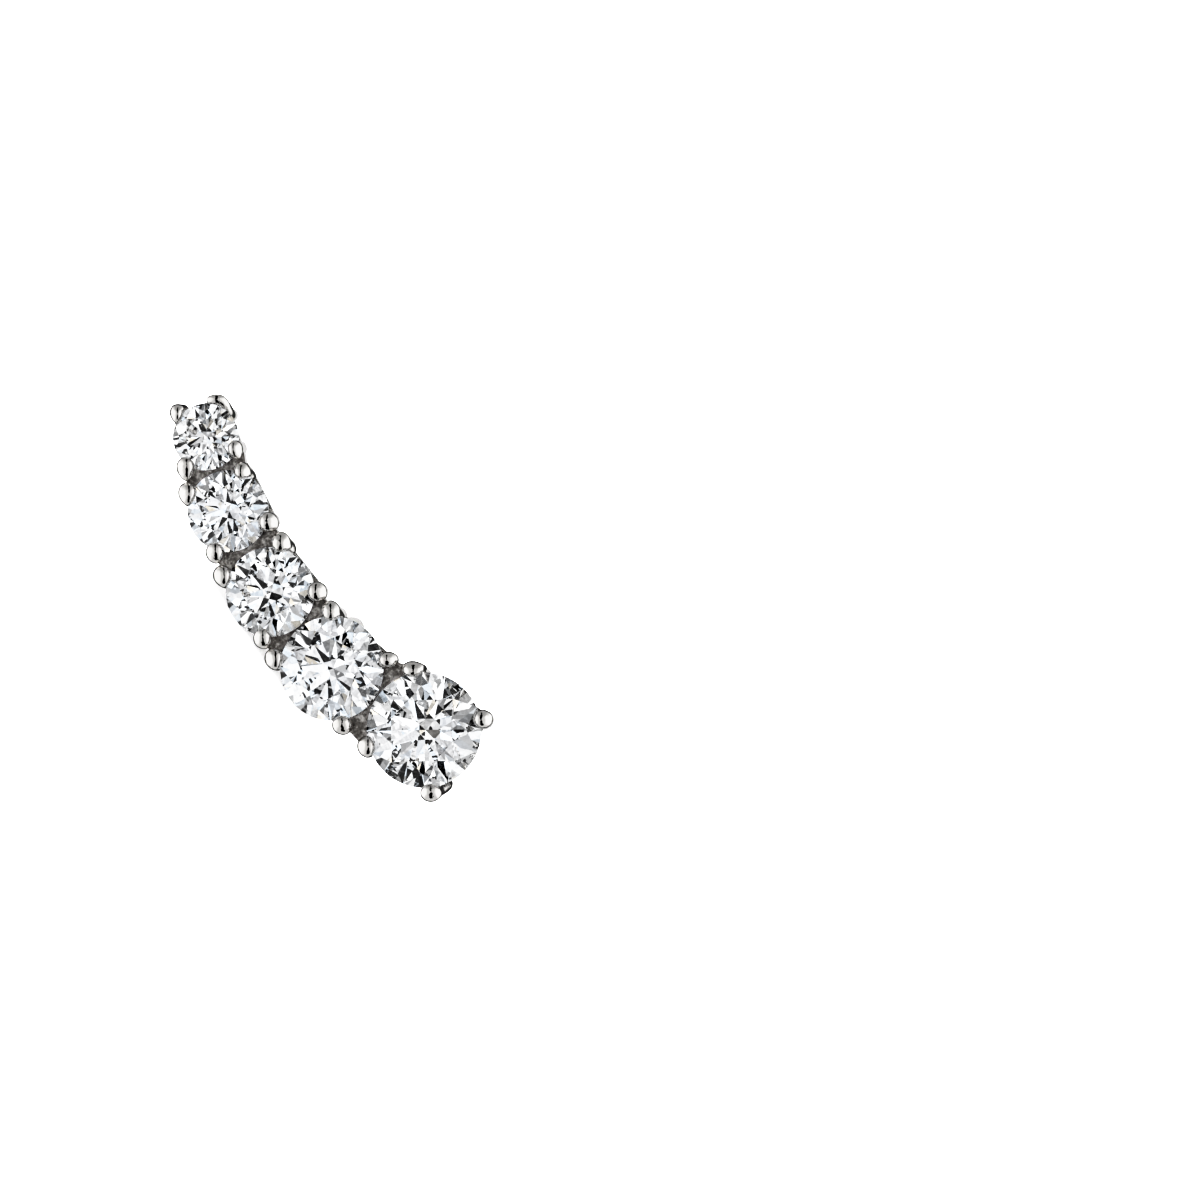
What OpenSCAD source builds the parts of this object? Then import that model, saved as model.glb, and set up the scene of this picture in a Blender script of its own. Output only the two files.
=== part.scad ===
// Ear climber: a curved row of five graduated round stones in one prong setting, with a post.
// The row is worked out face up: u to the right, v up and w out of the face, with the stones'
// girdles at w = 0. Then the whole is set down on the ground as it rests by itself.
// All sizes are in millimetres and all angles in degrees.

/* [Stones] */
// Diameter of the first stone, the smallest, at the top of the ear
stone_1_d = 2.17; // [2.10:0.01:2.22]
// Diameter of the second stone
stone_2_d = 2.65; // [2.58:0.01:2.70]
// Diameter of the third stone
stone_3_d = 2.90; // [2.84:0.01:2.96]
// Diameter of the fourth stone
stone_4_d = 3.38; // [3.30:0.01:3.44]
// Diameter of the fifth stone, the largest, at the ear lobe
stone_5_d = 3.73; // [3.65:0.01:3.80]
// Width of a stone's table as a share of its diameter
table_share = 0.57; // [0.54:0.01:0.60]
// Slope of the main facets above the girdle
crown_angle = 34.5; // [33:0.5:36]
// Slope of the main facets below the girdle
pavilion_angle = 40.8; // [40:0.2:41.8]
// Thickness of the girdle as a share of the diameter
girdle_share = 0.03; // [0.025:0.005:0.04]

/* [Row] */
// Clear gap between the first and the second girdle
gap_1_2 = 0.10; // [0.06:0.01:0.14]
// Clear gap between the second and the third girdle
gap_2_3 = 0.18; // [0.14:0.01:0.22]
// Clear gap between the third and the fourth girdle
gap_3_4 = 0.05; // [0.04:0.01:0.08]
// Clear gap between the fourth and the fifth girdle
gap_4_5 = 0.04; // [0.04:0.01:0.08]
// Fall of the row from the first stone to the second, below level
fall_1_2 = 73.5; // [72:0.5:75]
// Fall of the row from the second stone to the third
fall_2_3 = 62.5; // [61:0.5:64]
// Fall of the row from the third stone to the fourth
fall_3_4 = 51.0; // [50:0.5:52]
// Fall of the row from the fourth stone to the fifth
fall_4_5 = 33.7; // [33:0.1:35]

/* [Prongs] */
// Diameter of a prong's rounded tip
tip_d = 0.60; // [0.56:0.01:0.62]
// Diameter of a prong below its tip
shank_d = 0.52; // [0.48:0.01:0.54]
// Height of a tip's centre above the middle of the girdle
tip_rise = 0.12; // [0.08:0.01:0.16]
// Clearance between the metal and a stone
seat_gap = 0.03; // [0.02:0.01:0.04]

/* [Setting] */
// Reach of a head's wall corners beyond the girdle
corner_reach = 0.36; // [0.32:0.01:0.40]
// Depth of the web between the stones below the middle of the girdles
web_drop = 0.16; // [0.12:0.01:0.20]
// Depth of the back behind the first stone's girdle
back_first = 1.35; // [1.30:0.05:1.50]
// Depth of the back behind the fifth stone's girdle
back_last = 2.10; // [2.05:0.05:2.20]
// How far the prongs and the corners of a head draw in on their way to the full depth
wall_lean = 0.22; // [0.20:0.01:0.26]
// Radius of the scallop in a head's wall, as a share of the stone's radius
scallop_share = 0.60; // [0.55:0.01:0.62]
// Radius of the opening behind a stone, as a share of the stone's radius
opening_share = 0.60; // [0.55:0.01:0.62]

/* [Post] */
// Diameter of the ear post
post_d = 0.80; // [0.76:0.02:0.82]
// Length of the post behind the setting's back
post_length = 10.0; // [9.5:0.1:10.5]
// Diameter of the post's thinner end, which sits in the setting
peg_d = 0.42; // [0.38:0.02:0.46]
// Length of the thinner end that stays clear between the setting's back and the post's shoulder
peg_clear = 0.15; // [0.12:0.01:0.20]
// Depth of the post's seat in the setting
seat_depth = 0.60; // [0.50:0.05:0.70]
// Clearance between the post and its seat
post_gap = 0.03; // [0.02:0.01:0.04]

/* [Hidden] */

// Smoothness of round walls
$fn = 36;
// Margin by which a cutter runs past what it cuts
over = 0.5;
// Sides of a prong, whose tip is too small to need more
TIP_SIDES = 16;

// One row for each stone: diameter, gap before it, fall of the row before it and the angle that
// its facets are turned from the row
DIAMETER = 0;
GAP = 1;
FALL = 2;
FACET_TURN = 3;
STONES = [
    [stone_1_d, 0, fall_1_2, 7],
    [stone_2_d, gap_1_2, fall_1_2, 31],
    [stone_3_d, gap_2_3, fall_2_3, 18],
    [stone_4_d, gap_3_4, fall_3_4, 40],
    [stone_5_d, gap_4_5, fall_4_5, 12],
];
LAST = len(STONES) - 1;

// The corners of a head, as angles from the row's direction: inner ones lie on the side that the
// row curls round, and front ones towards the next larger stone
REAR_INNER = 0;
FRONT_INNER = 1;
FRONT_OUTER = 2;
REAR_OUTER = 3;
CORNERS = [135, 45, -45, -135];

// One row for each stone. Each pair is how far a prong is turned round the stone from its corner,
// in degrees, and the reach of its tip's centre beyond the girdle, in the order of CORNERS
TURN = 0;
REACH = 1;
TIPS = [
    [[9, 0.16], [8, 0.07], [-5, 0.09], [-11, 0.13]],
    [[1, 0.10], [8, 0.07], [6, 0.08], [-2, 0.12]],
    [[-1, 0.22], [12, 0.11], [3, 0.07], [-8, 0.19]],
    [[-2, 0.19], [6, 0.19], [8, 0.17], [-13, 0.22]],
    [[-1, 0.15], [-1, 0.13], [-5, 0.17], [4, 0.07]],
];
// Reach of the web's corners beyond the girdle
web_reach = 0.20;

// Centre of stone i in the face, and the way the row runs there
function stone_r(i) = STONES[i][DIAMETER] / 2;
function heading(i) = -STONES[i][FALL];
function toward(angle) = [cos(angle), sin(angle)];
function spacing(i) = stone_r(i - 1) + STONES[i][GAP] + stone_r(i);
function centre(i) = i == 0 ? [0, 0] : centre(i - 1) + spacing(i) * toward(heading(i));
function row_angle(i) = i == 0 ? heading(1)
    : i == LAST ? heading(LAST)
    : (heading(i) + heading(i + 1)) / 2;
function lift(p, w) = [p.x, p.y, w];

// The point that lies beyond the girdle of stone i by reach, on the line through prong c
function beside(i, c, reach) = centre(i)
    + (stone_r(i) + reach) * toward(row_angle(i) + CORNERS[c] + TIPS[i][c][TURN]);

// Where prong c of stone i starts at the full depth and where its tip's centre is
function root(i, c) = lift(beside(i, c, TIPS[i][c][REACH] - wall_lean), -back_last);
function tip(i, c) = lift(beside(i, c, TIPS[i][c][REACH]), tip_rise);

// The back is one flat, which slopes with the row from the first stone to the last
chord = centre(LAST) - centre(0);
chord_angle = atan2(chord.y, chord.x);
back_slope = atan((back_last - back_first) / norm(chord));
function back_w(p) = -back_last + tan(back_slope) * ((centre(LAST) - p) * chord) / norm(chord);

// The post stands behind the web between the third and the fourth stone, near the balance point
post_foot = (centre(LAST - 2) + centre(LAST - 1)) / 2;
post_seat_w = back_w(post_foot) + seat_depth;
post_end_w = back_w(post_foot) - post_length;
shoulder_w = back_w(post_foot) - peg_clear;
post_r = post_d / 2;
peg_r = peg_d / 2;

// At rest the girdles of the third and the fourth stone and the post's round end touch the
// ground. The face is rolled until the line under both girdles is level. Then it leans back by
// the angle at which the post's end comes down to the same ground.
SIDE_FOOT = LAST - 2;
MAIN_FOOT = LAST - 1;
feet = centre(MAIN_FOOT) - centre(SIDE_FOOT);
feet_angle = atan2(feet.y, feet.x) - asin((stone_r(MAIN_FOOT) - stone_r(SIDE_FOOT)) / norm(feet));
roll = -feet_angle;
function rolled(p) = [
    (p.x - centre(SIDE_FOOT).x) * cos(roll) - (p.y - centre(SIDE_FOOT).y) * sin(roll),
    (p.x - centre(SIDE_FOOT).x) * sin(roll) + (p.y - centre(SIDE_FOOT).y) * cos(roll)
];
post_height = rolled(post_foot).y + stone_r(SIDE_FOOT);
post_reach = -(post_end_w + post_r);
lean = atan2(post_height, post_reach) - asin(post_r / norm([post_height, post_reach]));

// The ground's height and the middle of the footprint, before the part is moved to its origin
ground = -stone_r(SIDE_FOOT) * cos(lean);
tips_x = [for (i = [0:LAST]) for (c = [0:3]) rolled(tip(i, c)).x];
middle_x = (min(tips_x) + max(tips_x)) / 2;
tables_y = [for (i = [0:LAST])
    (rolled(centre(i)).y - table_r(i)) * sin(lean) - table_w(i) * cos(lean)];
rear_y = rolled(post_foot).y * sin(lean) - post_end_w * cos(lean);
middle_y = (min(tables_y) + rear_y) / 2;

// The facets of a round brilliant meet at these heights and distances from its axis
function half_girdle(i) = girdle_share * stone_r(i);
function table_r(i) = table_share * stone_r(i);
function crown_h(i) = (stone_r(i) - table_r(i)) * tan(crown_angle);
function table_w(i) = half_girdle(i) + crown_h(i);
function pavilion_h(i) = stone_r(i) * tan(pavilion_angle);
MAINS = 8;
STEP = 360 / MAINS;
// Points of the girdle's edge on each half facet, so that the edge stays round
HALF_PARTS = 4;
RIM = 2 * MAINS * HALF_PARTS;
// Length of the star facets and of the lower half facets, as shares of their full length
star_share = 0.50;
lower_share = 0.77;

// Height of the main facet's plane at distance r and turn a from the facet's own middle line
function crown_w(i, r, a) = half_girdle(i) + (stone_r(i) - r * cos(a)) * tan(crown_angle);
function pavilion_w(i, r, a) = -half_girdle(i) - (stone_r(i) - r * cos(a)) * tan(pavilion_angle);
function star_r(i) = stone_r(i) * star_share + table_r(i) * cos(STEP / 2) * (1 - star_share);
function lower_r(i) = stone_r(i) * (1 - lower_share);
function polar(r, angle, w) = [r * cos(angle), r * sin(angle), w];

// The slope of a half facet's plane, from its inner point to the girdle's edge: the plane holds
// the inner point and the two girdle points on either side, so the round rim dips between them
function rim_turn(k) = abs((k % HALF_PARTS) - HALF_PARTS / 2) * STEP / 2 / HALF_PARTS;
function chord_r(i) = stone_r(i) * cos(STEP / 4);
function half_slope(i, inner_r, inner_w) =
    (inner_w - half_girdle(i)) / (chord_r(i) - inner_r * cos(STEP / 4));
function rim_dip(i, k, slope) = slope * (stone_r(i) * cos(rim_turn(k)) - chord_r(i));
function crown_slope(i) = half_slope(i, star_r(i), crown_w(i, star_r(i), STEP / 2));
function pavilion_slope(i) = half_slope(i, lower_r(i), -pavilion_w(i, lower_r(i), STEP / 2));

// The stone's points: table, star points, upper rim, lower rim, lower points and culet
function stone_points(i) = [
    for (k = [0:MAINS - 1]) polar(table_r(i), k * STEP, table_w(i)),
    for (k = [0:MAINS - 1]) polar(star_r(i), (k + 0.5) * STEP, crown_w(i, star_r(i), STEP / 2)),
    for (k = [0:RIM - 1])
        polar(stone_r(i), k * 360 / RIM, half_girdle(i) - rim_dip(i, k, crown_slope(i))),
    for (k = [0:RIM - 1])
        polar(stone_r(i), k * 360 / RIM, -half_girdle(i) + rim_dip(i, k, pavilion_slope(i))),
    for (k = [0:MAINS - 1])
        polar(lower_r(i), (k + 0.5) * STEP, pavilion_w(i, lower_r(i), STEP / 2)),
    [0, 0, -half_girdle(i) - pavilion_h(i)],
];
STAR = MAINS;
UPPER = STAR + MAINS;
LOWER = UPPER + RIM;
DEEP = LOWER + RIM;
CULET = DEEP + MAINS;
// Rim points between one main facet and the next
MAIN_PARTS = 2 * HALF_PARTS;

function table_k(k) = k % MAINS;
function star_k(k) = STAR + (k + MAINS) % MAINS;
function upper_k(k) = UPPER + k % RIM;
function lower_k(k) = LOWER + k % RIM;
function deep_k(k) = DEEP + (k + MAINS) % MAINS;

// Every facet as a list of points, clockwise when seen from outside
stone_faces = [
    [for (k = [MAINS - 1:-1:0]) k],
    for (k = [0:MAINS - 1]) [star_k(k), table_k(k), table_k(k + 1)],
    for (k = [0:MAINS - 1]) [upper_k(k * MAIN_PARTS), star_k(k - 1), table_k(k), star_k(k)],
    for (k = [0:MAINS - 1]) for (half = [0, 1]) let (start = k * MAIN_PARTS + half * HALF_PARTS)
        [star_k(k), for (m = [HALF_PARTS:-1:0]) upper_k(start + m)],
    for (k = [0:RIM - 1]) [upper_k(k), upper_k(k + 1), lower_k(k + 1), lower_k(k)],
    for (k = [0:MAINS - 1]) for (half = [0, 1]) let (start = k * MAIN_PARTS + half * HALF_PARTS)
        [deep_k(k), for (m = [0:HALF_PARTS]) lower_k(start + m)],
    for (k = [0:MAINS - 1]) [lower_k(k * MAIN_PARTS), deep_k(k), CULET, deep_k(k - 1)],
];

// Moves what is modelled face up at the row's own place to where the part rests
module at_rest() {
    translate([-middle_x, -middle_y, -ground])
        rotate([90 - lean, 0, 0])
            rotate([0, 0, roll])
                translate(-lift(centre(SIDE_FOOT), 0))
                    children();
}

// Moves to stone i, with X along the row
module at_stone(i) {
    translate(lift(centre(i), 0))
        rotate([0, 0, row_angle(i)])
            children();
}

// A prong: a round shank from its foot at the full depth, blended into its rounded tip
module prong(i, c) {
    way = tip(i, c) - root(i, c);
    hull() {
        translate(tip(i, c))
            sphere(d = tip_d, $fn = TIP_SIDES);
        translate(root(i, c))
            rotate([0, acos(way.z / norm(way)), atan2(way.y, way.x)])
                cylinder(h = over, d = shank_d, $fn = TIP_SIDES);
    }
}

// A wall block from the full depth up to the web, drawn in towards the back about its middle
module leaning_block(corners, middle, draw) {
    translate(lift(middle, -back_last))
        linear_extrude(height = back_last - web_drop, scale = 1 / draw)
            polygon([for (p = corners) draw * (p - middle)]);
}

// The head of stone i, with a corner behind each of its prongs
module head(i) {
    corners = [for (c = [0:3]) beside(i, c, corner_reach)];
    leaning_block(corners, centre(i), 1 - wall_lean / (stone_r(i) + corner_reach));
}

// The web that joins stone i to the next one, through the prongs that face each other
module web(i) {
    corners = [
        beside(i, FRONT_INNER, web_reach),
        beside(i + 1, REAR_INNER, web_reach),
        beside(i + 1, REAR_OUTER, web_reach),
        beside(i, FRONT_OUTER, web_reach),
    ];
    middle = (corners[0] + corners[1] + corners[2] + corners[3]) / 4;
    leaning_block(corners, middle, 1 - wall_lean / norm(corners[0] - middle));
}

// The room that stone i takes, with its clearance
module stone_room(i) {
    r = stone_r(i) + seat_gap;
    edge = half_girdle(i) + seat_gap / 2;
    crown_top = table_w(i) + seat_gap + over;
    crown_top_r = r - (crown_top - edge) / tan(crown_angle);
    at_stone(i)
        rotate_extrude()
            polygon([
                [0, -edge - r * tan(pavilion_angle)],
                [r, -edge],
                [r, edge],
                [max(crown_top_r, 0.1), crown_top],
                [0, crown_top],
            ]);
}

// The opening behind stone i, which lets light in and narrows towards the stone
module back_opening(i) {
    wide = opening_share * stone_r(i);
    narrow = 0.8 * wide;
    top = -0.45 * pavilion_h(i);
    at_stone(i)
        translate([0, 0, -back_last - over])
            cylinder(h = back_last + over + top, r1 = wide, r2 = narrow);
}

// The round scallops in the side walls of stone i, and in the end wall of an end stone
module scallops(i) {
    r = scallop_share * stone_r(i);
    run = stone_r(i) + corner_reach + over;
    at_stone(i) {
        translate([0, run, -web_drop / 2])
            rotate([90, 0, 0])
                cylinder(h = 2 * run, r = r);
        if (i == 0)
            translate([-run, 0, -web_drop / 2])
                rotate([0, 90, 0])
                    cylinder(h = run, r = r);
        if (i == LAST)
            translate([0, 0, -web_drop / 2])
                rotate([0, 90, 0])
                    cylinder(h = run, r = r);
    }
}

// All that lies behind the sloping back
module behind_back() {
    size = 3 * norm(chord);
    translate(lift(centre(LAST), -back_last))
        rotate([0, 0, chord_angle])
            rotate([0, back_slope, 0])
                translate([-size / 2, -size / 2, -size])
                    cube(size);
}

// The seat that the post's thinner end is let into
module post_seat() {
    translate(lift(post_foot, -back_last - over))
        cylinder(h = post_seat_w + back_last + over, r = peg_r + post_gap);
}

module setting() color("silver") at_rest() difference() {
    union() {
        difference() {
            union() {
                for (i = [0:LAST]) head(i);
                for (i = [0:LAST - 1]) web(i);
            }
            for (i = [0:LAST]) scallops(i);
        }
        for (i = [0:LAST]) for (c = [0:3]) prong(i, c);
    }
    for (i = [0:LAST]) stone_room(i);
    for (i = [0:LAST]) back_opening(i);
    behind_back();
    post_seat();
}

// The ear post: a plain pin with a round end, and a thinner end that sits in the setting
module ear_post() color("silver") at_rest()
    translate(lift(post_foot, post_end_w))
        rotate_extrude() {
            translate([0, post_r])
                square([post_r, shoulder_w - post_end_w - post_r]);
            translate([0, post_r])
                square([peg_r, post_seat_w - post_gap - post_end_w - post_r]);
            intersection() {
                translate([0, post_r])
                    circle(post_r);
                square([post_r, 2 * post_r]);
            }
        }

module stone(i) color("aliceblue") at_rest() at_stone(i)
    rotate([0, 0, STONES[i][FACET_TURN]])
        polyhedron(points = stone_points(i), faces = stone_faces);

setting();
ear_post();
stone(0);  // stone_1
stone(1);  // stone_2
stone(2);  // stone_3
stone(3);  // stone_4
stone(4);  // stone_5
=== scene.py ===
import math

import bpy
from mathutils import Matrix, Vector


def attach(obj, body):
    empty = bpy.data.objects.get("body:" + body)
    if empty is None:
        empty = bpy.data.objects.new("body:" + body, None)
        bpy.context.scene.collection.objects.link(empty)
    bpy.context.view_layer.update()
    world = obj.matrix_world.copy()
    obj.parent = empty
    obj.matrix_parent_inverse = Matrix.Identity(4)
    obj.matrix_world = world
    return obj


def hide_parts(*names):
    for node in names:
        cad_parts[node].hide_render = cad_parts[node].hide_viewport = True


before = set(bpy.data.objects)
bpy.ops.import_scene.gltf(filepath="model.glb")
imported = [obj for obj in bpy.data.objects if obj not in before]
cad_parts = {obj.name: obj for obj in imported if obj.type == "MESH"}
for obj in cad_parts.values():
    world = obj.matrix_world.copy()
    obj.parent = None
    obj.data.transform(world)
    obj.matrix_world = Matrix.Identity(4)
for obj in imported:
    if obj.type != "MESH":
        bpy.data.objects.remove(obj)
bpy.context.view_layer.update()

# The looks of an ear climber: five round stones in a curved prong setting, with an ear post.
# Shapes are made in the face's own frame, in millimetres: u to the right, v up and w out of the
# face, with the stones' girdles at w = 0. The same turns and moves as in the solids then set the
# setting down at rest.

MM = 0.001

# One row for each stone, the smallest first: diameter, gap before it, and by how many degrees the
# row falls on its way there
DIAMETER, GAP, FALL = range(3)
STONES = [
    (2.17, 0.00, 73.5),
    (2.65, 0.10, 73.5),
    (2.90, 0.18, 62.5),
    (3.38, 0.05, 51.0),
    (3.73, 0.04, 33.7),
]
COUNT = len(STONES)
LAST = COUNT - 1

# The corners of a head, as angles from the row's direction: inner ones lie on the hollow side of
# the row's curve, and front ones towards its larger stones
CORNERS = [135, 45, -45, -135]
REAR_INNER, FRONT_INNER, FRONT_OUTER, REAR_OUTER = range(4)

# One row for each stone and one pair for each corner: how many degrees a prong is turned round
# the stone from its corner, and how far its tip's centre lies beyond the girdle
TURN, REACH = range(2)
TIPS = [
    [(9, 0.16), (8, 0.07), (-5, 0.09), (-11, 0.13)],
    [(1, 0.10), (8, 0.07), (6, 0.08), (-2, 0.12)],
    [(-1, 0.22), (12, 0.11), (3, 0.07), (-8, 0.19)],
    [(-2, 0.19), (6, 0.19), (8, 0.17), (-13, 0.22)],
    [(-1, 0.15), (-1, 0.13), (-5, 0.17), (4, 0.07)],
]

# The cut of the stones, as shares of the diameter and slopes, and their clearance in the seats
TABLE_SHARE, GIRDLE_SHARE = 0.57, 0.03
CROWN_SLOPE = math.tan(math.radians(34.5))
PAVILION_SLOPE = math.tan(math.radians(40.8))
SEAT_GAP = 0.03

# The frame: how far the web lies below the girdles, how far webs and heads reach beyond them,
# how deep the back is behind the first and the last stone, and how far prongs and walls draw in
# on their way down to the last stone's back
WEB_DROP, WEB_REACH, CORNER_REACH = 0.16, 0.20, 0.36
BACK_FIRST, BACK_LAST = 1.35, 2.10
WALL_LEAN = 0.22
# Corners of heads that reach less far
TRIMMED = {(0, FRONT_INNER): 0.17}

# The scallops in the walls and the openings behind the stones, as shares of a stone's radius. An
# opening ends at OPENING_TOP of the pavilion's depth, drawn in to OPENING_DRAW of its width.
SCALLOP_SHARE, OPENING_SHARE = 0.60, 0.60
OPENING_TOP, OPENING_DRAW = 0.45, 0.80

# The seat of the post's thinner end: radius of that end, clearance and depth
PEG_R, POST_GAP, SEAT_DEPTH = 0.21, 0.03, 0.60

# How far a cutter runs past what it cuts, and the end radii of the cutter for a stone's room
OVER = 0.5
CULET_R, LEAST_TOP_R = 0.01, 0.1

# How the part rests, turned about its third stone: it leans back, is rolled in its face, and moves
# to its origin
LEAN, ROLL = 5.85719, 55.3147
MIDDLE_X, MIDDLE_Y, GROUND = 0.914032, 5.55718, -1.44243


def toward(angle):
    return Vector((math.cos(math.radians(angle)), math.sin(math.radians(angle))))


def radius(i):
    return STONES[i][DIAMETER] / 2


def heading(i):
    return -STONES[i][FALL]


def row_angle(i):
    """The row's direction at stone i, in degrees."""
    if i == 0:
        return heading(1)
    if i == LAST:
        return heading(LAST)
    return (heading(i) + heading(i + 1)) / 2


CENTRES = [Vector((0, 0))]
for i in range(1, COUNT):
    spacing = radius(i - 1) + STONES[i][GAP] + radius(i)
    CENTRES.append(CENTRES[-1] + spacing * toward(heading(i)))


def beside(i, c, reach):
    """The point beyond the girdle of stone i by reach, in the direction of prong c."""
    turn = row_angle(i) + CORNERS[c] + TIPS[i][c][TURN]
    return CENTRES[i] + (radius(i) + reach) * toward(turn)


def lift(p, w):
    """The point at height w over point p of the face."""
    return Vector((p[0], p[1], w))


# The back is a flat that slopes with the row from the first stone to the last
CHORD = CENTRES[LAST] - CENTRES[0]
BACK_SLOPE = math.atan((BACK_LAST - BACK_FIRST) / CHORD.length)


def back_w(p):
    """The height of the back's slope behind point p."""
    return -BACK_LAST + math.tan(BACK_SLOPE) * (CENTRES[LAST] - p).dot(CHORD) / CHORD.length


AT_REST = (
    Matrix.Translation((-MIDDLE_X, -MIDDLE_Y, -GROUND))
    @ Matrix.Rotation(math.radians(90 - LEAN), 4, "X")
    @ Matrix.Rotation(math.radians(ROLL), 4, "Z")
    @ Matrix.Translation(-lift(CENTRES[2], 0))
)
TO_PART = Matrix.Scale(MM, 4) @ AT_REST


# Mesh tools
def mesh_object(name, points, faces):
    mesh = bpy.data.meshes.new(name)
    mesh.from_pydata([tuple(p) for p in points], [], faces)
    mesh.validate()
    made = bpy.data.objects.new(name, mesh)
    bpy.context.scene.collection.objects.link(made)
    return made


def rings_object(name, rings, low_pole, high_pole):
    """A closed solid through rings of points, each anticlockwise seen from above, bottom first."""
    n = len(rings[0])
    points = [p for ring in rings for p in ring] + [low_pole, high_pole]
    low, high = len(points) - 2, len(points) - 1
    faces = []
    for j in range(len(rings) - 1):
        for k in range(n):
            a, b = j * n + k, j * n + (k + 1) % n
            faces.append((a, b, b + n, a + n))
    top = (len(rings) - 1) * n
    for k in range(n):
        faces.append((low, (k + 1) % n, k))
        faces.append((high, top + k, top + (k + 1) % n))
    return mesh_object(name, points, faces)


def circle(r, w, place, n):
    turns = [k * math.tau / n for k in range(n)]
    return [place @ Vector((r * math.cos(a), r * math.sin(a), w)) for a in turns]


def turned(name, profile, place, n=96):
    """A solid of revolution: profile is (r, w) from the bottom up, without the axis points."""
    rings = [circle(r, w, place, n) for r, w in profile]
    low, high = (place @ Vector((0, 0, profile[k][1])) for k in (0, -1))
    return rings_object(name, rings, low, high)


def block(name, low, high, flip=False):
    """A block from outline low up to outline high, which has as many corners."""
    n = len(low)
    faces = [tuple(range(n - 1, -1, -1)), tuple(range(n, 2 * n))]
    faces += [(k, (k + 1) % n, n + (k + 1) % n, n + k) for k in range(n)]
    if flip:
        faces = [tuple(reversed(f)) for f in faces]
    return mesh_object(name, low + high, faces)


def combine(base, operation, other):
    """Joins other to base or cuts it out of it, and deletes other."""
    modifier = base.modifiers.new("bool", "BOOLEAN")
    modifier.operation = operation
    modifier.solver = "MANIFOLD"
    modifier.object = other
    graph = bpy.context.evaluated_depsgraph_get()
    mesh = bpy.data.meshes.new_from_object(base.evaluated_get(graph))
    base.modifiers.clear()
    old = base.data
    base.data = mesh
    bpy.data.meshes.remove(old)
    used = other.data
    bpy.data.objects.remove(other)
    bpy.data.meshes.remove(used)


def smoothstep(a, b, x):
    t = min(max((x - a) / (b - a), 0.0), 1.0)
    return t * t * (3 - 2 * t)


# Prongs
TIP_R, SHANK_R, TIP_RISE = 0.31, 0.27, 0.12
# The shank swells to the tip's radius between these two heights
SWELL_FROM, SWELL_TO = -0.55, -0.05
# Height of a tip above its centre, and how far its top leans over the stone
TOP_HEIGHT, TOP_LEAN = 0.29, 0.07
# How far below the last stone's back a prong starts, for the back to cut it off
FOOT = 0.3
# The rings of a prong: heights of those below its tip, then angles up the tip of the others
SHANK_LEVELS = (
    -BACK_LAST - FOOT, -1.7, -1.3, -1.0, -0.8, -0.65, -0.5,
    -0.4, -0.3, -0.22, -0.15, -0.08, -0.02, 0.05,
)
TIP_ANGLES = (0, 8, 16, 24, 32, 40, 48, 56, 64, 71, 77, 82, 86)
PRONG_SIDES = 40

# Where a prong's side runs out into a point or a body, for each stone and corner: angle in the
# face, share of the prong's radius, and the height w where it is fullest
POINTS = [
    [
        [],
        [(-72, 0.30, -0.10)],
        [(-85, 0.45, -0.10)],
        [(30, 0.55, -0.25), (-88, 0.32, -0.05)],
    ],
    [
        [(-28, 0.85, -0.40)],
        [(-25, 0.20, -0.30)],
        [(-70, 0.12, -0.10)],
        [(-86, 0.42, -0.10)],
    ],
    [
        [(-32, 0.85, -0.40)],
        [(-40, 0.20, -0.30)],
        [(-60, 0.12, -0.10)],
        [(-76, 0.34, -0.10)],
    ],
    [
        [(-36, 0.70, -0.40)],
        [(-45, 0.20, -0.30)],
        [(-60, 0.08, -0.10)],
        [(-74, 0.30, -0.10)],
    ],
    [
        [(14, 0.30, -0.30)],
        [(0, 0.22, -0.55), (-45, 0.25, -0.55), (-95, 0.35, -0.60)],
        [(12, 0.80, -0.55), (36, 0.95, -0.95)],
        [(-76, 0.20, -0.10)],
    ],
]
# Spread of such a point round the prong and along it
POINT_WIDTH, POINT_LENGTH = math.radians(34), 0.42

# A prong's shape in the face: how much wider and taller than round it is, and how far its tip
# stands off its corner to the right and up
ACROSS, TALL, RIGHT, UP = range(4)
TIP_SHAPE = (1.00, 1.07, 0, 0)
OWN_SHAPES = {
    (0, FRONT_INNER): (0.76, 0.94, -0.09, 0),
    (0, REAR_OUTER): (0.74, 0.90, 0, 0.02),
    (1, REAR_INNER): (0.86, 0.90, -0.06, 0),
    (3, FRONT_INNER): (1.02, 0.86, 0, 0),
    (3, FRONT_OUTER): (1.08, 1.00, 0, 0),
    (4, REAR_INNER): (1.16, 0.82, 0, 0),
    (4, FRONT_INNER): (1.00, 0.98, -0.03, 0),
    (4, FRONT_OUTER): (1.12, 0.96, 0, 0),
    (4, REAR_OUTER): (0.98, 1.08, 0, 0),
}


def prong_ring(points, shape, centre, r, w, fullness):
    """A ring of a prong at height w, where its points are as full as fullness says."""
    ring = []
    for k in range(PRONG_SIDES):
        a = k * math.tau / PRONG_SIDES
        reach = r
        for angle, share, fullest in points:
            off = (a - math.radians(angle) + math.pi) % math.tau - math.pi
            bulge = share * math.exp(-(((w - fullest) / POINT_LENGTH) ** 2)) * fullness
            reach += r * bulge * math.exp(-((off / POINT_WIDTH) ** 2))
        u = centre.x + shape[ACROSS] * reach * math.cos(a)
        v = centre.y + shape[TALL] * reach * math.sin(a)
        ring.append((u, v, w))
    return ring


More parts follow.
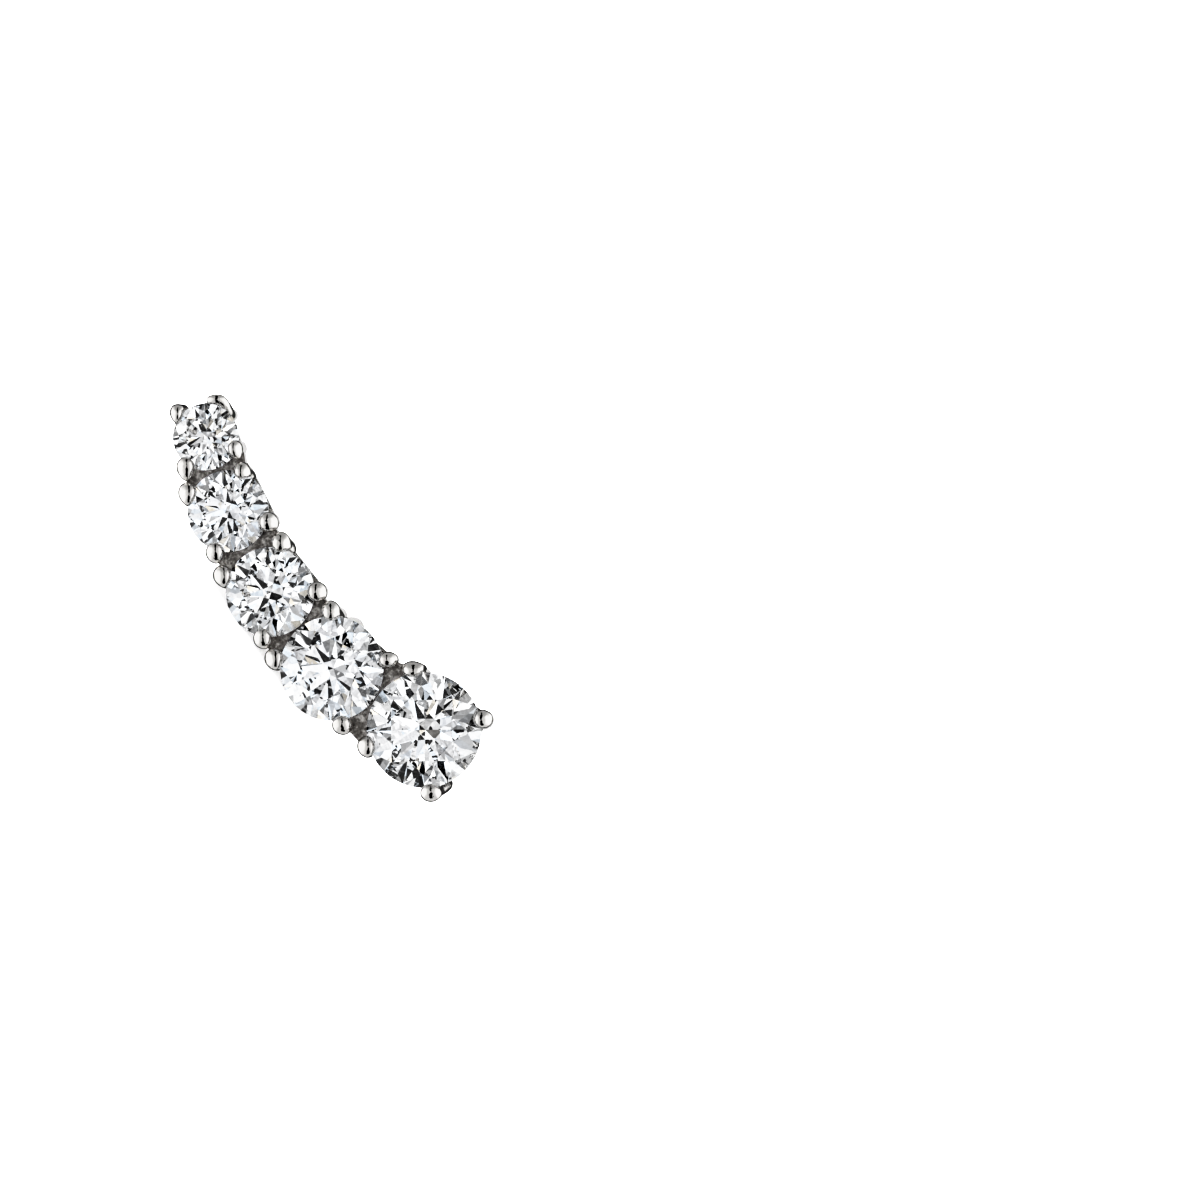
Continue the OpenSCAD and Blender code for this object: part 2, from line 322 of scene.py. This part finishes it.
def prong(i, c):
    points, reach = POINTS[i][c], TIPS[i][c][REACH]
    shape = OWN_SHAPES.get((i, c), TIP_SHAPE)
    root = lift(beside(i, c, reach - WALL_LEAN), -BACK_LAST)
    tip = lift(beside(i, c, reach) + Vector((shape[RIGHT], shape[UP])), TIP_RISE)
    inward = (CENTRES[i] - tip.xy).normalized()
    rings = []
    for w in SHANK_LEVELS:
        centre = root.lerp(tip, (w - root.z) / (tip.z - root.z)).xy
        r = SHANK_R + (TIP_R - SHANK_R) * smoothstep(SWELL_FROM, SWELL_TO, w)
        rings.append(prong_ring(points, shape, centre, r, w, 1.0))
    for angle in TIP_ANGLES:
        side, rise = math.cos(math.radians(angle)), math.sin(math.radians(angle))
        centre = tip.xy + inward * TOP_LEAN * rise
        w = TIP_RISE + TOP_HEIGHT * rise
        rings.append(prong_ring(points, shape, centre, TIP_R * side, w, side))
    low = [sum(values) / PRONG_SIDES for values in zip(*rings[0])]
    top = lift(tip.xy + inward * TOP_LEAN, TIP_RISE + TOP_HEIGHT)
    return rings_object("prong", rings, low, top)


# The first stone's claw, which comes up beside the stone and bends over it sideways: how far it
# runs from its corner to the right and up, its height w and its radius there
BENT_CLAW = [
    (0.12, -0.36, -BACK_LAST - FOOT, 0.21),
    (0.22, -0.44, -1.20, 0.21),
    (0.29, -0.40, -0.50, 0.18),
    (0.22, -0.15, -0.02, 0.17),
    (0.11, 0.00, 0.14, 0.17),
    (-0.07, 0.03, 0.20, 0.17),
    (-0.25, 0.01, 0.18, 0.14),
]
CLAW_STEPS = 40
# The claw's round end: angles of its rings, its length as a share of the radius, and its cap
END_ANGLES = (15, 30, 45, 58, 70, 80, 86)
END_LENGTH, END_CAP = 0.8, 0.005


def catmull_rom(a, b, c, d, f):
    """The value at share f of the way from b to c, with a before them and d after them."""
    square, cube = 2 * a - 5 * b + 4 * c - d, 3 * b - a - 3 * c + d
    return 0.5 * ((2 * b) + (c - a) * f + square * f ** 2 + cube * f ** 3)


def spline(knots, count):
    """Points of a Catmull-Rom curve through knots, each a tuple of numbers."""
    curve = []
    spans = len(knots) - 1
    for s in range(count + 1):
        t = s / count * spans
        j = min(int(t), spans - 1)
        near = [knots[min(max(j + d, 0), spans)] for d in (-1, 0, 1, 2)]
        curve.append(tuple(catmull_rom(*values, t - j) for values in zip(*near)))
    return curve


def swept(name, spine, n=PRONG_SIDES):
    """A round bar along spine, whose entries are (point, radius), closed by a small cap."""
    points = [Vector(p) for p, r in spine]
    side = Vector((0, 0, 1)).cross(points[-1] - points[0])
    side.normalize()
    turns = [k * math.tau / n for k in range(n)]
    rings = []
    for j, (p, r) in enumerate(spine):
        ahead = (points[min(j + 1, len(points) - 1)] - points[max(j - 1, 0)]).normalized()
        x = (side - ahead * side.dot(ahead)).normalized()
        y = ahead.cross(x)
        rings.append([Vector(p) + r * (x * math.cos(a) + y * math.sin(a)) for a in turns])
    ahead = (points[-1] - points[-2]).normalized()
    return rings_object(name, rings, points[0], points[-1] + ahead * END_CAP)


def bent_claw():
    corner = beside(0, REAR_INNER, TIPS[0][REAR_INNER][REACH])
    knots = [(corner.x + right, corner.y + up, w, r) for right, up, w, r in BENT_CLAW]
    spine = [((u, v, w), r) for u, v, w, r in spline(knots, CLAW_STEPS)]
    end, before = Vector(spine[-1][0]), Vector(spine[-2][0])
    ahead = (end - before).normalized()
    r = spine[-1][1]
    for angle in END_ANGLES:
        side, rise = math.cos(math.radians(angle)), math.sin(math.radians(angle))
        spine.append((tuple(end + ahead * r * END_LENGTH * rise), r * side))
    return swept("claw", spine)


# The frame between and behind the stones
def leaning_block(name, corners, middle, draw):
    """A block from the last stone's back up to the web, whose foot is drawn in about middle."""
    low = [lift(middle + draw * (p - middle), -BACK_LAST) for p in corners]
    high = [lift(p, -WEB_DROP) for p in corners]
    area = sum(a.x * b.y - b.x * a.y for a, b in zip(corners, corners[1:] + corners[:1]))
    return block(name, low, high, flip=area < 0)


def head(i):
    corners = [beside(i, c, CORNER_REACH - TRIMMED.get((i, c), 0)) for c in range(len(CORNERS))]
    return leaning_block("head", corners, CENTRES[i], 1 - WALL_LEAN / (radius(i) + CORNER_REACH))


def web(i):
    corners = [
        beside(i, FRONT_INNER, WEB_REACH),
        beside(i + 1, REAR_INNER, WEB_REACH),
        beside(i + 1, REAR_OUTER, WEB_REACH),
        beside(i, FRONT_OUTER, WEB_REACH),
    ]
    middle = sum(corners, Vector((0, 0))) / len(corners)
    return leaning_block("web", corners, middle, 1 - WALL_LEAN / (corners[0] - middle).length)


def at_stone(i):
    return Matrix.Translation(lift(CENTRES[i], 0)) @ Matrix.Rotation(math.radians(row_angle(i)), 4, "Z")


def stone_room(i):
    """The room that stone i takes, with its clearance, and the way in from above."""
    r = radius(i) + SEAT_GAP
    edge = GIRDLE_SHARE * radius(i) + SEAT_GAP / 2
    table_w = GIRDLE_SHARE * radius(i) + (1 - TABLE_SHARE) * radius(i) * CROWN_SLOPE
    top = table_w + SEAT_GAP + OVER
    top_r = max(r - (top - edge) / CROWN_SLOPE, LEAST_TOP_R)
    profile = [(CULET_R, -edge - r * PAVILION_SLOPE), (r, -edge), (r, edge), (top_r, top)]
    return turned("room", profile, at_stone(i), n=128)


def back_opening(i):
    wide = OPENING_SHARE * radius(i)
    top = -OPENING_TOP * radius(i) * PAVILION_SLOPE
    return turned("opening", [(wide, -BACK_LAST - OVER), (OPENING_DRAW * wide, top)], at_stone(i))


def scallop(i, turn, start, end):
    """A round bar through the middle of stone i, which cuts arches into the head's walls."""
    r = SCALLOP_SHARE * radius(i)
    place = (
        at_stone(i)
        @ Matrix.Translation((0, 0, -WEB_DROP / 2))
        @ Matrix.Rotation(math.radians(turn), 4, "Z")
        @ Matrix.Rotation(math.radians(90), 4, "Y")
    )
    return turned("scallop", [(r, start), (r, end)], place)


def behind_back():
    """All that lies behind the back's slope."""
    size = 3 * CHORD.length
    place = (
        Matrix.Translation(lift(CENTRES[LAST], -BACK_LAST))
        @ Matrix.Rotation(math.atan2(CHORD.y, CHORD.x), 4, "Z")
        @ Matrix.Rotation(BACK_SLOPE, 4, "Y")
    )
    square = [(x * size / 2, y * size / 2) for x, y in ((-1, -1), (1, -1), (1, 1), (-1, 1))]
    low, high = ([place @ lift(p, w) for p in square] for w in (-size, 0))
    return block("back", low, high)


def post_seat():
    """The seat lies between the third and the fourth stone."""
    foot = (CENTRES[LAST - 2] + CENTRES[LAST - 1]) / 2
    r = PEG_R + POST_GAP
    profile = [(r, -BACK_LAST - OVER), (r, back_w(foot) + SEAT_DEPTH)]
    return turned("seat", profile, Matrix.Translation(lift(foot, 0)), n=64)


def make_setting():
    body = head(0)
    for i in range(1, COUNT):
        combine(body, "UNION", head(i))
    for i in range(LAST):
        combine(body, "UNION", web(i))
    # Every head's side walls get an arch, and so do the two end walls of the row
    for i in range(COUNT):
        run = radius(i) + CORNER_REACH + OVER
        combine(body, "DIFFERENCE", scallop(i, 90, -run, run))
        if i == 0:
            combine(body, "DIFFERENCE", scallop(i, 180, 0, run))
        if i == LAST:
            combine(body, "DIFFERENCE", scallop(i, 0, 0, run))
    for i in range(COUNT):
        for c in range(len(CORNERS)):
            combine(body, "UNION", bent_claw() if (i, c) == (0, REAR_INNER) else prong(i, c))
    for i in range(COUNT):
        combine(body, "DIFFERENCE", stone_room(i))
        combine(body, "DIFFERENCE", back_opening(i))
    combine(body, "DIFFERENCE", behind_back())
    combine(body, "DIFFERENCE", post_seat())
    body.name = "setting_cast"
    body.data.name = "setting_cast"
    return body


# Materials. Colours run with a noise, whose scale counts its features to the metre.
GOLD_COLOURS = [(0.3, (0.74, 0.73, 0.715)), (0.7, (0.80, 0.79, 0.775))]
# The web's dark greys are painted shade, for the shade between and under the stones, over the white
# gold; the noise flecks them like the metal's own grain.
WEB_SHADE_AND_GRAIN_COLOURS = [
    (0.36, (0.15, 0.141, 0.135)),
    (0.50, (0.34, 0.326, 0.315)),
    (0.60, (0.74, 0.726, 0.71)),
]
BACK_COLOURS = [(0.36, (0.55, 0.54, 0.53)), (0.60, (0.80, 0.79, 0.775))]
DIAMOND_COLOURS = [(0.3, (0.965, 0.975, 1.0)), (0.7, (1.0, 0.995, 0.985))]
PAPER_COLOURS = [(0.3, (0.93, 0.93, 0.93)), (0.7, (0.96, 0.96, 0.96))]


class Nodes:
    """Adds nodes to a tree. Another node's output may stand for a value, and is then linked."""

    def __init__(self, tree):
        self.tree = tree
        tree.nodes.clear()

    def add(self, kind, **values):
        node = self.tree.nodes.new(kind)
        for key, value in values.items():
            if hasattr(node, key) and key not in node.inputs:
                setattr(node, key, value)
            else:
                self.put(node.inputs[key], value)
        return node

    def put(self, socket, value):
        if isinstance(value, bpy.types.NodeSocket):
            self.tree.links.new(value, socket)
        else:
            socket.default_value = value

    def math(self, operation, a, b=0.0, c=0.0):
        node = self.tree.nodes.new("ShaderNodeMath")
        node.operation = operation
        for socket, value in zip(node.inputs, (a, b, c)):
            self.put(socket, value)
        return node.outputs[0]

    def times(self, *values):
        product = values[0]
        for value in values[1:]:
            product = self.math("MULTIPLY", product, value)
        return product

    def step(self, x, low, high, a=0.0, b=1.0):
        """Goes smoothly from a to b while x goes from low to high."""
        node = self.tree.nodes.new("ShaderNodeMapRange")
        node.interpolation_type = "SMOOTHSTEP"
        for socket, value in zip(node.inputs, (x, low, high, a, b)):
            self.put(socket, value)
        return node.outputs[0]

    def noise(self, coord, scale, detail=2.0, rough=0.5):
        node = self.tree.nodes.new("ShaderNodeTexNoise")
        self.put(node.inputs["Vector"], coord)
        node.inputs["Scale"].default_value = scale
        node.inputs["Detail"].default_value = detail
        node.inputs["Roughness"].default_value = rough
        return node.outputs["Fac"]

    def bump(self, height, strength, distance):
        node = self.add("ShaderNodeBump", Strength=strength, Distance=distance, Height=height)
        return node.outputs[0]

    def ramp(self, fac, stops):
        node = self.tree.nodes.new("ShaderNodeValToRGB")
        self.put(node.inputs[0], fac)
        ramp = node.color_ramp
        while len(ramp.elements) < len(stops):
            ramp.elements.new(0.5)
        for element, (at, colour) in zip(ramp.elements, stops):
            element.position = at
            element.color = (*colour, 1)
        return node.outputs[0]


def material(name, **same_all_over):
    """A new material, whose shader's own sockets get the values that are the same all over."""
    mat = bpy.data.materials.new(name)
    mat.use_nodes = True
    n = Nodes(mat.node_tree)
    out = n.add("ShaderNodeOutputMaterial")
    shader = n.add("ShaderNodeBsdfPrincipled")
    n.put(out.inputs["Surface"], shader.outputs[0])
    for socket, value in same_all_over.items():
        shader.inputs[socket.replace("_", " ")].default_value = value
    coord = n.add("ShaderNodeTexCoord").outputs["Object"]
    return mat, n, shader, coord


def polished(name, rough):
    mat, n, shader, coord = material(name, Metallic=1.0)
    broad = n.noise(coord, scale=900, detail=3)
    fine = n.noise(coord, scale=14000)
    dents = n.noise(coord, scale=8000)
    n.put(shader.inputs["Base Color"], n.ramp(broad, GOLD_COLOURS))
    n.put(shader.inputs["Roughness"], n.step(fine, 0.3, 0.7, rough * 0.7, rough * 1.4))
    n.put(shader.inputs["Normal"], n.bump(dents, strength=0.60, distance=0.00002))
    return mat


def satin(name, colours):
    mat, n, shader, coord = material(name, Metallic=1.0, Roughness=0.5)
    grain = n.noise(coord, scale=9000, detail=4, rough=0.65)
    patch = n.noise(coord, scale=2200, detail=3, rough=0.6)
    mixed = n.math("ADD", n.times(grain, 0.6), n.times(patch, 0.4))
    n.put(shader.inputs["Base Color"], n.ramp(mixed, colours))
    n.put(shader.inputs["Normal"], n.bump(grain, strength=0.5, distance=0.00003))
    return mat


def diamond(name):
    mat, n, shader, coord = material(
        name, Transmission_Weight=1.0, IOR=2.417, Specular_Tint=(0.35, 0.35, 0.35, 1), Roughness=0.0
    )
    wave = n.noise(coord, scale=2200, detail=1)
    cloud = n.noise(coord, scale=700)
    n.put(shader.inputs["Normal"], n.bump(wave, strength=0.035, distance=0.00002))
    n.put(shader.inputs["Base Color"], n.ramp(cloud, DIAMOND_COLOURS))
    return mat


def paper(name):
    """Pale paper with a little light of its own, which fills the shadow under the part."""
    mat, n, shader, coord = material(
        name, Roughness=0.7, Emission_Color=(1, 1, 1, 1), Emission_Strength=0.4
    )
    fibre = n.noise(coord, scale=400, detail=3)
    n.put(shader.inputs["Base Color"], n.ramp(fibre, PAPER_COLOURS))
    return mat


# The pieces. The setting is polished but for the web's flat top and the back, whose faces are
# nearly square to w. The web's top is coloured dark as painted shade, for the shade it lies in
# between and under the stones. FACING is the least share of w in their normals, and NEAR is how
# far a face may lie from its height.
POLISHED, SHADED_WEB_SATIN, BACK_SATIN = range(3)
FACING, NEAR = 0.98, 0.02
SHARP_ANGLE = 34


def material_of(face):
    if face.normal.z > FACING and abs(face.center.z + WEB_DROP) < NEAR:
        return SHADED_WEB_SATIN
    back = max(back_w(face.center.xy), -BACK_LAST)
    if face.normal.z < -FACING and face.center.z < back + NEAR:
        return BACK_SATIN
    return POLISHED


setting = make_setting()
setting.data.materials.clear()
setting.data.materials.append(polished("white_gold_polished", 0.035))
# The web's satin is coloured dark: painted shade over the white gold, flecked with its grain.
setting.data.materials.append(satin("white_gold_satin", WEB_SHADE_AND_GRAIN_COLOURS))
setting.data.materials.append(satin("white_gold_satin_back", BACK_COLOURS))
for face in setting.data.polygons:
    face.material_index = material_of(face)
setting.data.polygons.foreach_set("use_smooth", [True] * len(setting.data.polygons))
setting.data.set_sharp_from_angle(angle=math.radians(SHARP_ANGLE))
setting.data.transform(TO_PART)
setting.data.update()
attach(setting, "root")
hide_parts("setting")

clear_diamond = diamond("diamond_clear")
polished_post = polished("post_polished", 0.12)
for name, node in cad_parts.items():
    is_stone = name.startswith("stone_")
    node.data.materials.clear()
    node.data.materials.append(clear_diamond if is_stone else polished_post)
    if is_stone:
        node.data.polygons.foreach_set("use_smooth", [False] * len(node.data.polygons))

# The camera looks at the face as the photo does: AIM is the face's point in the middle of the
# photo, PIXEL the width of one of the photo's pixels there, SIDE the angle by which the camera
# stands to the right of the face, and TWIST its small roll
PHOTO_WIDTH, PIXEL = 1200, 0.03212
AIM = Vector((12.795, -5.334, 0.0))
DISTANCE = 180.0
SENSOR = 36
SIDE, TWIST = math.radians(5.95), -0.0045

out_of = Vector((math.sin(SIDE), 0, math.cos(SIDE)))
level_x = Vector((0, 1, 0)).cross(out_of).normalized()
level_y = out_of.cross(level_x)
right = level_x * math.cos(TWIST) + level_y * math.sin(TWIST)
up = out_of.cross(right)
place = (
    AT_REST
    @ Matrix.Translation(AIM + DISTANCE * out_of)
    @ Matrix((right, up, out_of)).transposed().to_4x4()
)
place.translation = place.translation * MM

camera_data = bpy.data.cameras.new("camera")
camera_data.sensor_width = SENSOR
camera_data.lens = SENSOR * DISTANCE / (PHOTO_WIDTH * PIXEL)
camera_data.clip_start = 0.01
camera_data.clip_end = 10
camera = bpy.data.objects.new("camera", camera_data)
camera.matrix_world = place
bpy.context.scene.collection.objects.link(camera)
bpy.context.scene.camera = camera

# The floor, which mirrored and refracted rays don't see
FLOOR = 3
floor_corners = [(-FLOOR, -FLOOR, 0), (FLOOR, -FLOOR, 0), (FLOOR, FLOOR, 0), (-FLOOR, FLOOR, 0)]
floor = mesh_object("floor", floor_corners, [(0, 1, 2, 3)])
floor.data.materials.append(paper("floor_paper"))
floor.visible_glossy = False
floor.visible_transmission = False


# The studio is a tent of light, whose axes are the photo's: x to the right, y up and z forward
def shares_along(n, way, axes):
    """How far direction way points along each of the axes."""
    shares = []
    for axis in axes:
        node = n.add("ShaderNodeVectorMath", operation="DOT_PRODUCT")
        n.put(node.inputs[0], way)
        node.inputs[1].default_value = tuple(axis)
        shares.append(node.outputs["Value"])
    return shares


def mirrored_tent(n, way, axes):
    """The light that the metal mirrors: a bright tent, brightest at both sides and dimmer above,
    with a dark slot in front, which has a light gap across it, and a dark ring round the back.
    """
    front, sides, dim_top = 0.73, 1.15, 0.65
    in_slot, in_ring = 0.01, 0.11
    x, y, z = shares_along(n, way, axes)
    off_middle = n.math("ABSOLUTE", x)
    off_gap = n.math("ABSOLUTE", n.math("SUBTRACT", y, -0.10))
    half_width = n.step(y, -0.55, -0.25, 0.22, 0.12)
    slot = n.times(
        n.step(n.math("SUBTRACT", off_middle, half_width), 0.0, 0.035, 1, 0),
        n.step(z, 0.05, 0.20),
        n.step(off_gap, 0.02, 0.06),
    )
    ring = n.times(n.step(z, -0.60, -0.45, 1, 0), n.step(z, -0.96, -0.90))
    return n.times(
        n.step(off_middle, 0.42, 0.80, front, sides),
        n.step(y, 0.35, 0.80, 1.0, dim_top),
        n.step(ring, 0, 1, 1, in_ring),
        n.step(slot, 0, 1, 1, in_slot),
    )


def greys(*stops):
    return [(at, (level, level, level)) for at, level in stops]


# Brightness of the cards and the smaller chips, as (share of them up to here, level)
CARD_LEVELS = greys((0.0, 0.01), (0.04, 0.02), (0.05, 0.25), (0.15, 0.45), (0.32, 0.75), (0.40, 1.0))
CHIP_LEVELS = greys((0.0, 0.0), (0.10, 0.02), (0.11, 0.6), (0.28, 0.9), (0.30, 1.0))
# Tints of the cards, some of which are bluish or warm
CARD_TINTS = [
    (0.04, (0.86, 0.93, 1.0)),
    (0.28, (0.985, 0.99, 1.0)),
    (0.95, (1.0, 1.0, 0.995)),
    (0.995, (1.0, 0.94, 0.83)),
]
CARD_SCALE, CHIP_SCALE = 9.0, 30.0


def cells(n, way, scale):
    """Three random numbers for each of the cells that fill the tent, smaller at a larger scale."""
    voronoi = n.add("ShaderNodeTexVoronoi", Scale=scale)
    n.put(voronoi.inputs["Vector"], way)
    node = n.add("ShaderNodeSeparateColor")
    n.put(node.inputs[0], voronoi.outputs["Color"])
    return node.outputs[0], node.outputs[1], node.outputs[2]


def refracted_tent(n, way):
    """The light that the stones gather, and its tint: a white tent full of cards and chips."""
    card_level, card_gain, card_tint = cells(n, way, CARD_SCALE)
    chip_level = cells(n, way, CHIP_SCALE)[0]
    light = n.times(
        n.ramp(card_level, CARD_LEVELS),
        n.step(card_gain, 0.0, 1.0, 0.72, 1.22),
        n.ramp(chip_level, CHIP_LEVELS),
        n.step(n.noise(way, scale=30), 0.35, 0.65, 0.70, 1.18),
    )
    return light, n.ramp(card_tint, CARD_TINTS)


# The light for all rays that are neither mirrored nor refracted
EVEN_LIGHT = 3.6
# A Mix node's inputs for two colours, and its output for the mixed one
FIRST_COLOUR, SECOND_COLOUR, MIXED_COLOUR = 6, 7, 2


def make_studio(axes):
    world = bpy.data.worlds.new("studio")
    bpy.context.scene.world = world
    world.use_nodes = True
    n = Nodes(world.node_tree)
    out = n.add("ShaderNodeOutputWorld")
    background = n.add("ShaderNodeBackground")
    n.put(out.inputs["Surface"], background.outputs[0])
    way = n.add("ShaderNodeTexCoord").outputs["Generated"]
    path = n.add("ShaderNodeLightPath")
    glossy, refracted = path.outputs["Is Glossy Ray"], path.outputs["Is Transmission Ray"]
    # Refracted rays count as glossy ones too
    mirrored = n.times(glossy, n.math("SUBTRACT", 1, refracted))
    other = n.math("SUBTRACT", 1, n.math("MAXIMUM", glossy, refracted))
    light, tint = refracted_tent(n, way)
    total = n.times(mirrored_tent(n, way, axes), mirrored)
    total = n.math("MULTIPLY_ADD", light, refracted, total)
    total = n.math("MULTIPLY_ADD", other, EVEN_LIGHT, total)
    n.put(background.inputs["Strength"], total)
    colour = n.add("ShaderNodeMix", data_type="RGBA")
    n.put(colour.inputs[0], refracted)
    colour.inputs[FIRST_COLOUR].default_value = (1, 1, 1, 1)
    n.put(colour.inputs[SECOND_COLOUR], tint)
    n.put(background.inputs["Color"], colour.outputs[MIXED_COLOUR])


make_studio(place.to_3x3().col)

# The photo's contrast, on the curve that all three colours share
CONTRAST = ((0.05, 0.005), (0.22, 0.12), (0.55, 0.56), (0.85, 0.95))
SHARED_CURVE = 3
scene = bpy.context.scene
scene.view_settings.view_transform = "Standard"
scene.view_settings.use_curve_mapping = True
mapping = scene.view_settings.curve_mapping
for at, value in CONTRAST:
    mapping.curves[SHARED_CURVE].points.new(at, value)
mapping.update()

# Light needs many bounces to find its way out of a stone
STONE_BOUNCES, MIRROR_BOUNCES = 24, 8
scene.cycles.max_bounces = STONE_BOUNCES
scene.cycles.transmission_bounces = STONE_BOUNCES
scene.cycles.glossy_bounces = MIRROR_BOUNCES
scene.cycles.use_denoising = True
